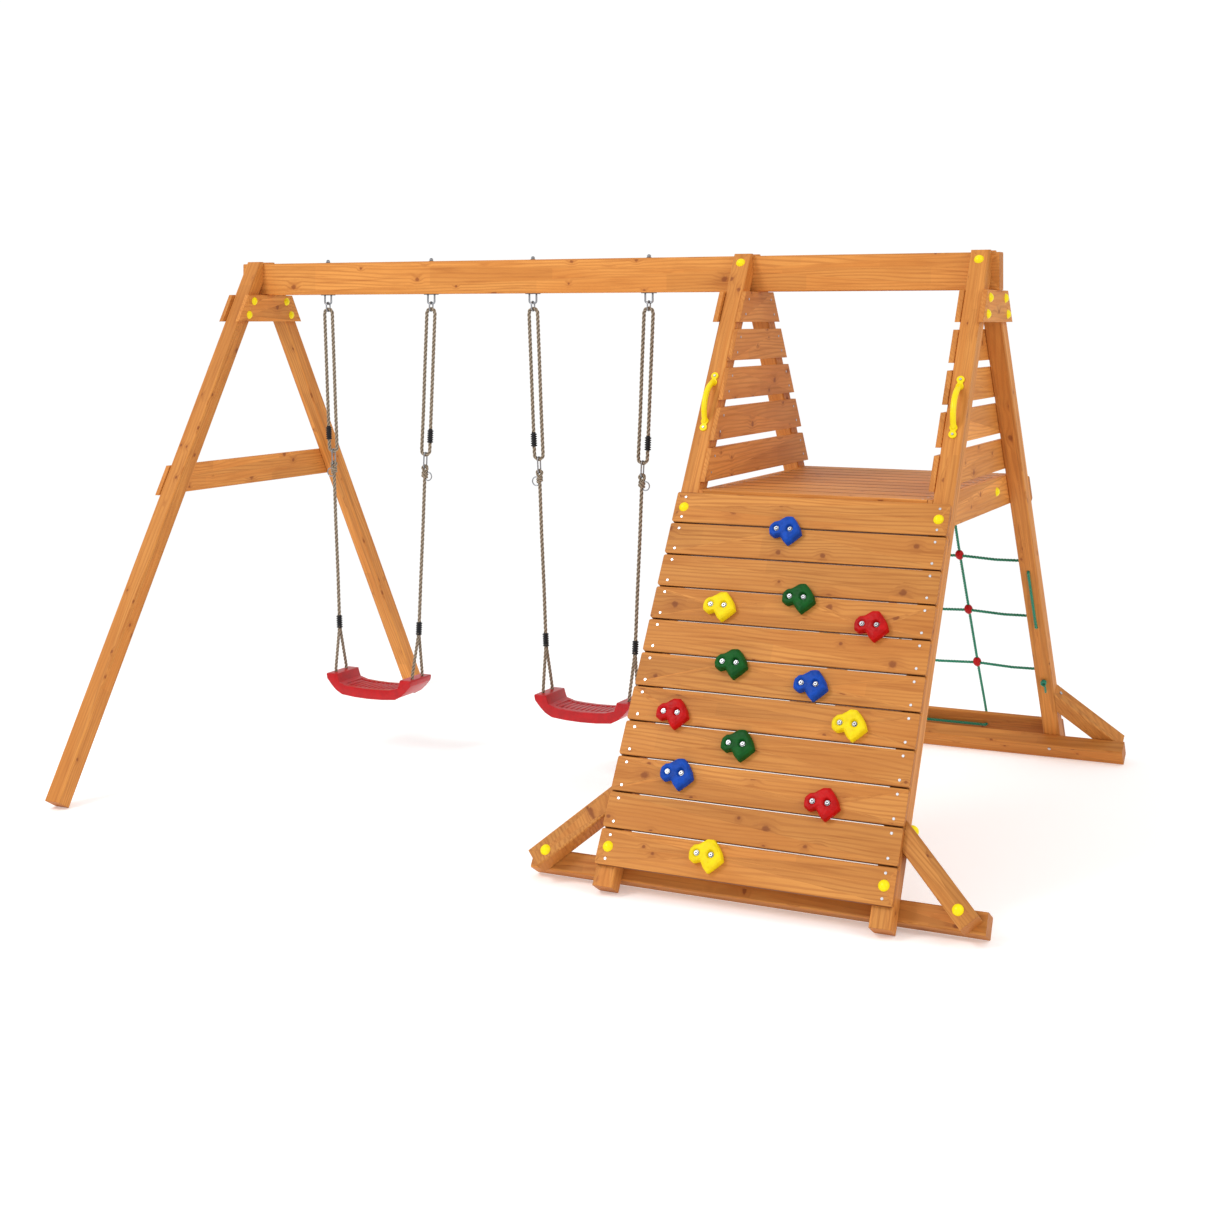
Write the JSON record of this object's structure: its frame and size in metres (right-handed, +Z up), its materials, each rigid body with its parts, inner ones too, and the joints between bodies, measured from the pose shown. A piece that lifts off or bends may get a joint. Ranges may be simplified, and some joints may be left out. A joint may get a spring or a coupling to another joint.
{
  "type": "climbing wall",
  "caption": "Wooden play frame with a sloping plank climbing wall, bolted holds, deck with slatted sides, rope net and rope swings on a ridge beam",
  "frame": {"origin": "on the ground, at the middle of the frame's footprint", "axes": "+X along the ridge beam towards the tower, -Y towards the climbing wall's side, +Z up"},
  "size_m": [3.656, 2.6449, 2.144],
  "materials": {
    "post_wood": "stained pine, satin",
    "plank_wood": "stained pine, satin",
    "hold_blue": "rough cast resin",
    "hold_green": "rough cast resin",
    "hold_yellow": "rough cast resin",
    "hold_red": "rough cast resin",
    "zinc_steel": "zinc plated",
    "galvanised_steel": "galvanised",
    "cap_yellow": "smooth moulded",
    "handle_yellow": "smooth moulded",
    "net_rope": "braided rope",
    "ball_red": "moulded",
    "swing_rope": "laid hemp-coloured rope",
    "sleeve_black": "ribbed shrink sleeve",
    "seat_red": "moulded, satin"
  },
  "bodies": {
    "frame": {"beam": "post_wood", "leg_a_front": "post_wood", "leg_a_rear": "post_wood", "leg_b_front": "post_wood", "leg_b_rear": "post_wood", "leg_c_front": "post_wood", "leg_c_rear": "post_wood", "collar_a_inner": "plank_wood", "collar_a_outer": "plank_wood", "tie_a": "plank_wood", "collar_b": "plank_wood", "collar_c": "plank_wood", "rail_b": "plank_wood", "rail_c": "plank_wood", "bearer_b": "post_wood", "bearer_c": "post_wood", "sill_front": "post_wood", "sill_rear": "post_wood", "brace_front_left": "post_wood", "brace_front_right": "post_wood", "brace_rear_left": "post_wood", "brace_rear_right": "post_wood", "rear_plank_top": "plank_wood", "rear_plank_bottom": "plank_wood", "wall_plank_1": "plank_wood", "wall_plank_2": "plank_wood", "wall_plank_3": "plank_wood", "wall_plank_4": "plank_wood", "wall_plank_5": "plank_wood", "wall_plank_6": "plank_wood", "wall_plank_7": "plank_wood", "wall_plank_8": "plank_wood", "wall_plank_9": "plank_wood", "wall_plank_10": "plank_wood", "wall_plank_11": "plank_wood", "fence_b": "plank_wood", "fence_c": "plank_wood", "deck_boards": "plank_wood", "holds_blue": "hold_blue", "holds_green": "hold_green", "holds_yellow": "hold_yellow", "holds_red": "hold_red", "hold_bolts": "zinc_steel", "hold_nuts": "zinc_steel", "handles": "handle_yellow", "wood_screws": "zinc_steel", "coach_screws": "zinc_steel", "screw_caps": "cap_yellow", "net_rope_across": "net_rope", "net_rope_up": "net_rope", "net_balls": "ball_red", "swing_hooks": "galvanised_steel"},
    "swing_1": {"swing_1_links": "galvanised_steel", "swing_1_ropes": "swing_rope", "swing_1_sleeves": "sleeve_black", "swing_1_seat": "seat_red"},
    "swing_2": {"swing_2_links": "galvanised_steel", "swing_2_ropes": "swing_rope", "swing_2_sleeves": "sleeve_black", "swing_2_seat": "seat_red"}
  },
  "joints": [
    {"name": "swing_1_hinge", "type": "hinge", "parent": "frame", "child": "swing_1", "pos_m": [-1.125, 0, 1.949], "axis": [1, 0, 0], "range_deg": [-60, 60]},
    {"name": "swing_2_hinge", "type": "hinge", "parent": "frame", "child": "swing_2", "pos_m": [-0.102, 0, 1.949], "axis": [1, 0, 0], "range_deg": [-60, 60]}
  ]
}
